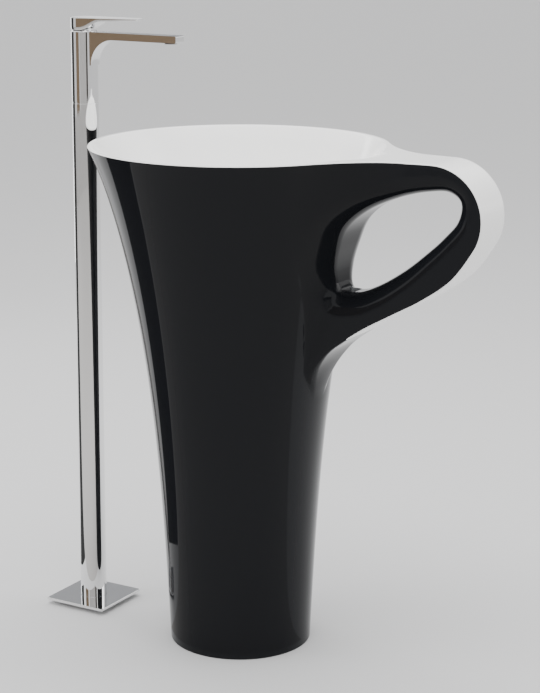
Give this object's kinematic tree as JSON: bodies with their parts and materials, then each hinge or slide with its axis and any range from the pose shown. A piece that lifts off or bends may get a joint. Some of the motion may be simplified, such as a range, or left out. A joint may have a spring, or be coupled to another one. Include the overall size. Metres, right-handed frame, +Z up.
{
  "type": "pedestal sink",
  "caption": "Tall flared pedestal basin with a closed loop handle and a white bowl, filled by a slim floor-standing single-lever mixer tap.",
  "frame": {"origin": "on the floor, on the basin's axis, midway between the two foot brackets", "axes": "+Z up, +X from the basin's axis towards its handle; the tap stands on the -X side and +Y is left when looking along +X"},
  "size_m": [0.828, 0.5, 1.0475],
  "materials": {
    "black_gloss": "high gloss black",
    "white_gloss": "high gloss white",
    "chrome": "polished chrome plate",
    "steel": "plain stainless steel",
    "brass": "machined brass",
    "rubber": "matt black rubber",
    "plastic": "plain moulded plastic",
    "black_plastic": "satin black moulded plastic",
    "index_plastic": "small grey cover plug",
    "hose": "braided supply hose",
    "disc_ceramic": "ground ceramic"
  },
  "bodies": {
    "stand": {"aerator_housing": "black_plastic", "aerator_screen": "black_plastic", "aerator_washer": "rubber", "basin_bowl": "white_gloss", "cartridge_housing": "plastic", "cartridge_seal": "rubber", "cold_hose": "hose", "cold_hose_nut": "brass", "column_spigot": "brass", "column_tube": "chrome", "cover_plate": "chrome", "dome_cap": "chrome", "drain_pipe": "plastic", "fixed_disc": "disc_ceramic", "floor_bracket_back": "steel", "floor_bracket_front": "steel", "foot_gasket": "rubber", "handle_core": "black_gloss", "hot_hose": "hose", "hot_hose_nut": "brass", "joint_ring": "chrome", "mixer_body": "chrome", "outlet_nut": "plastic", "pedestal_shell": "black_gloss", "plate_washer": "rubber", "plug_guide": "plastic", "retaining_nut": "brass", "rim_handle_band": "white_gloss", "tailpiece": "brass", "tailpiece_nut": "plastic", "tap_flange": "steel", "trap_body": "plastic", "trap_cup": "plastic", "trap_cup_seal": "rubber", "trap_inlet_nut": "plastic", "trap_inlet_seal": "rubber", "waste_body": "chrome", "waste_gasket": "rubber", "waste_locknut": "brass"},
    "plug": {"waste_plug": "chrome"},
    "cartridge_swivel": {"cartridge_rotor": "plastic", "spindle_pin": "steel"},
    "disc_slider": {"moving_disc": "disc_ceramic", "disc_carrier": "plastic"},
    "lever": {"spindle": "brass", "lever_handle": "chrome", "lever_grub_screw": "steel", "index_plug": "index_plastic"}
  },
  "joints": [
    {"name": "lever_swivel", "type": "hinge", "parent": "stand", "child": "cartridge_swivel", "pos_m": [-0.31, 0, 1.003], "axis": [0, 0, 1], "range_deg": [-45, 45]},
    {"name": "lever_tilt", "type": "hinge", "parent": "cartridge_swivel", "child": "lever", "pos_m": [-0.31, 0, 1.003], "axis": [0, -1, 0], "range_deg": [0, 18]},
    {"name": "disc_slide", "type": "slide", "parent": "cartridge_swivel", "child": "disc_slider", "axis": [1, 0, 0], "range_m": [0, 0.004]},
    {"name": "plug_press", "type": "slide", "parent": "stand", "child": "plug", "axis": [0, 0, -1], "range_m": [0, 0.0085]}
  ],
  "couplings": [
    {"joint": "disc_slide", "follows": "lever_tilt", "m_per_rad": 0.0125}
  ]
}
